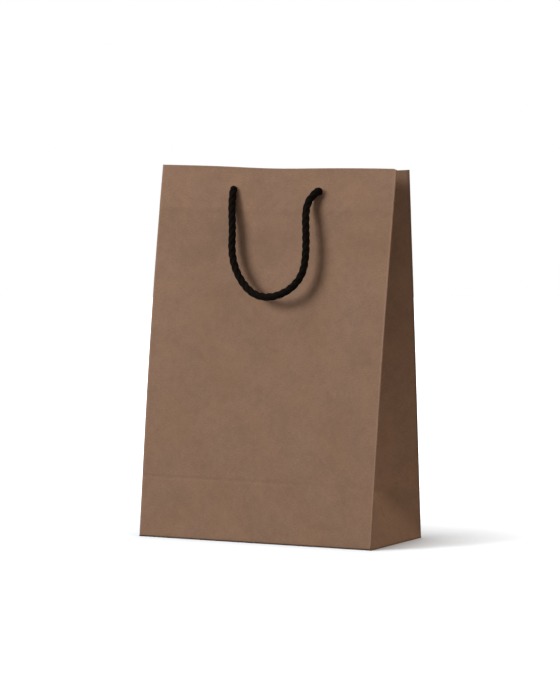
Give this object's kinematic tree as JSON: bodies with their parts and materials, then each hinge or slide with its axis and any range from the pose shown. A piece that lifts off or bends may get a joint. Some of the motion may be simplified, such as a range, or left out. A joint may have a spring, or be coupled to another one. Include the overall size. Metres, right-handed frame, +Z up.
{
  "type": "gift bag",
  "caption": "Plain kraft paper gift bag with folded gussets, a mitred base, a turned-in top and black rope handles that hang in loops.",
  "frame": {"origin": "middle of the base, on the surface that the bag stands on", "axes": "+Z up, +X along the bag's width, the front wall faces -Y"},
  "size_m": [0.22, 0.1, 0.3189],
  "materials": {
    "kraft_paper": "uncoated brown kraft, matte, with fine fibre mottling",
    "grey_board": "uncoated grey-brown board, matte",
    "black_rope": "twisted black cord with a soft sheen"
  },
  "bodies": {
    "base": {"base_card": "grey_board", "bottom_front_flap": "kraft_paper", "bottom_back_flap": "kraft_paper", "bottom_left_flap": "kraft_paper", "bottom_right_flap": "kraft_paper", "left_base_triangle": "kraft_paper", "left_gusset_front": "kraft_paper", "left_gusset_back": "kraft_paper", "left_gusset_hem": "kraft_paper", "right_base_triangle": "kraft_paper", "right_gusset_front": "kraft_paper", "right_gusset_back": "kraft_paper", "right_gusset_hem": "kraft_paper"},
    "front": {"front_wall": "kraft_paper", "front_top_card": "grey_board", "front_hem": "kraft_paper", "front_left_rope_end": "black_rope", "front_left_knot": "black_rope", "front_right_rope_end": "black_rope", "front_right_knot": "black_rope"},
    "back": {"back_wall": "kraft_paper", "back_top_card": "grey_board", "back_hem": "kraft_paper", "back_left_rope_end": "black_rope", "back_left_knot": "black_rope", "back_right_rope_end": "black_rope", "back_right_knot": "black_rope", "side_seam_flap": "kraft_paper"},
    "front_handle": {"front_handle_rope": "black_rope"},
    "back_handle": {"back_handle_rope": "black_rope"}
  },
  "joints": [
    {"name": "front_wall_open", "type": "hinge", "parent": "base", "child": "front", "pos_m": [0, -0.05, 0], "axis": [1, 0, 0], "range_deg": [0, 8.62]},
    {"name": "back_wall_open", "type": "hinge", "parent": "base", "child": "back", "pos_m": [0, 0.05, 0], "axis": [-1, 0, 0], "range_deg": [0, 4.66]},
    {"name": "front_handle_swing", "type": "hinge", "parent": "front", "child": "front_handle", "pos_m": [0, -0.00856, 0.29715], "axis": [-1, 0, 0], "range_deg": [0, 165]},
    {"name": "back_handle_swing", "type": "hinge", "parent": "back", "child": "back_handle", "pos_m": [0, 0.02921, 0.2993], "axis": [1, 0, 0], "range_deg": [0, 165]}
  ],
  "couplings": [
    {"joint": "back_wall_open", "follows": "front_wall_open", "ratio": 0.54}
  ]
}
